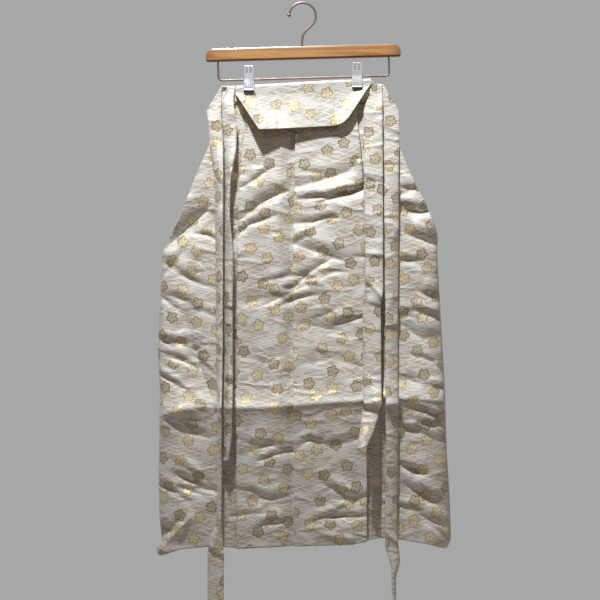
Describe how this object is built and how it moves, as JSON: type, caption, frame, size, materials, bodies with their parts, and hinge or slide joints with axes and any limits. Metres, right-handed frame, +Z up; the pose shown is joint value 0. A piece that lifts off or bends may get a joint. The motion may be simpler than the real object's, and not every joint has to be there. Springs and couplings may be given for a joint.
{
  "type": "hakama trousers on a trouser hanger",
  "caption": "Pleated divided hakama in ivory brocade with long ties, its stiff back board turned forward, held by two clips on a wooden trouser hanger.",
  "frame": {"origin": "inner top of the hook, where it rests on a rail", "axes": "+Z up along the hanging length, +X to the viewer's right across the front, +Y from the front of the trousers to their back"},
  "size_m": [0.5424, 0.1053, 1.4562],
  "materials": {
    "brocade": "ivory silk brocade with a satin sheen, fine white ripples and small gold blossoms",
    "wood": "clear lacquer",
    "steel": "polished plating on round rod",
    "clip": "polished plating on pressed sheet",
    "rubber": "matte"
  },
  "bodies": {
    "root": {"front_left": "brocade", "front_right": "brocade", "back_left": "brocade", "back_right": "brocade", "gusset_left": "brocade", "gusset_right": "brocade", "front_band": "brocade", "front_tie_left": "brocade", "front_tie_right": "brocade", "back_tie_left": "brocade", "back_tie_right": "brocade", "back_board": "brocade", "hanger_bar": "wood", "hanger_wire": "steel", "hanger_hook": "steel", "hook_ball": "steel", "clip_left_front_jaw": "clip", "clip_left_back_jaw": "clip", "clip_left_front_pad": "rubber", "clip_left_back_pad": "rubber", "clip_right_front_jaw": "clip", "clip_right_back_jaw": "clip", "clip_right_front_pad": "rubber", "clip_right_back_pad": "rubber"}
  },
  "joints": []
}
